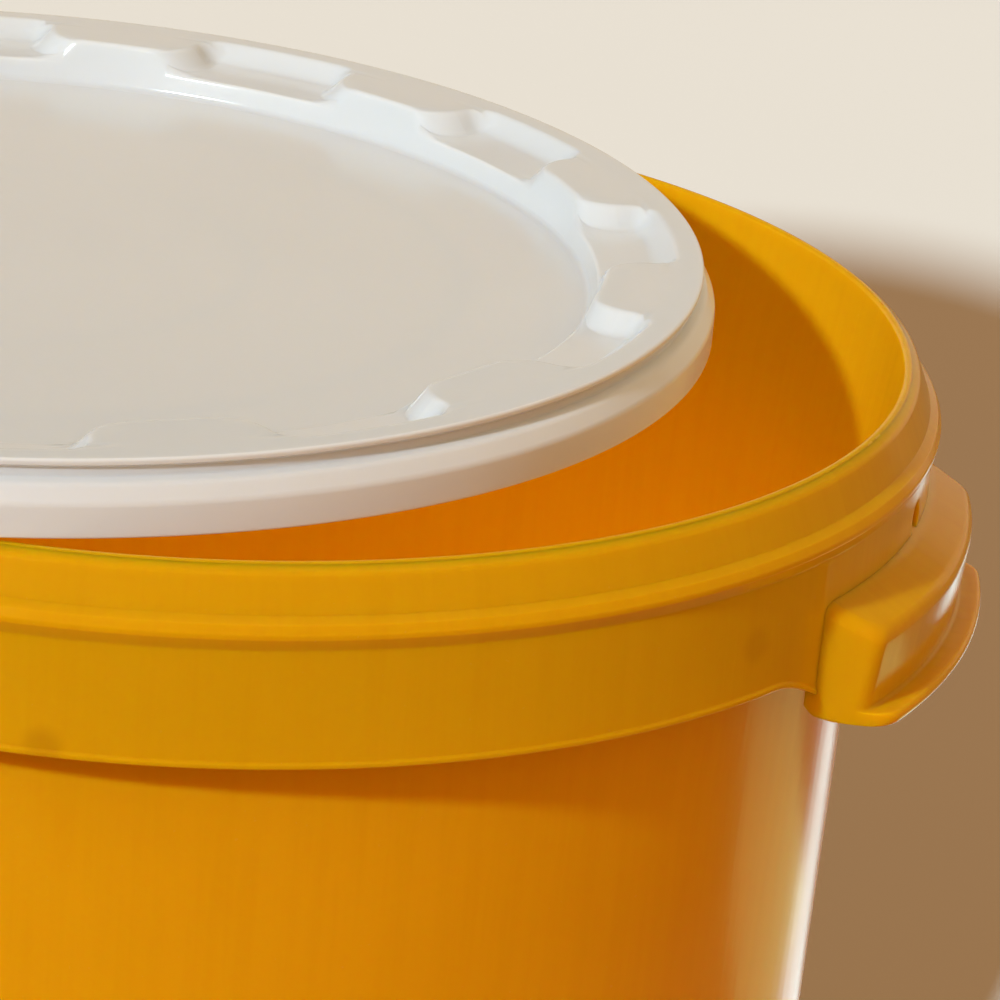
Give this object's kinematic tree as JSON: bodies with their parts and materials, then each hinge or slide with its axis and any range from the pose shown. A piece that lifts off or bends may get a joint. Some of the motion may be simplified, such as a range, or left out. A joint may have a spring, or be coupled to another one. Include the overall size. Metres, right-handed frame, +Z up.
{
  "type": "honey pail",
  "caption": "Round tapered plastic honey pail with a flared lip, a hanging collar band with moulded hand grips, and a loose castellated lid lying on the rim.",
  "frame": {"origin": "on the floor under the pail's axis, at the middle of its foot ring", "axes": "+Z up along the pail's axis, +X out through the middle of the right-hand grip"},
  "size_m": [0.3729, 0.3192, 0.312],
  "materials": {
    "pail_plastic": "glossy moulded polypropylene, honey yellow, slightly translucent",
    "lid_plastic": "glossy moulded plastic, white"
  },
  "bodies": {
    "pail": {"tub_wall": "pail_plastic", "tub_base": "pail_plastic", "rim_collar": "pail_plastic", "collar_ribs": "pail_plastic", "grip_right": "pail_plastic", "grip_left": "pail_plastic"},
    "lid": {"lid_panel": "lid_plastic", "lid_wall": "lid_plastic", "lid_flange": "lid_plastic", "lid_skirt": "lid_plastic", "lid_plug": "lid_plastic", "lid_ribs": "lid_plastic"}
  },
  "joints": [
    {"name": "lid_lift", "type": "slide", "parent": "pail", "child": "lid", "axis": [0, 0, 1], "range_m": [0, 0.15]}
  ]
}
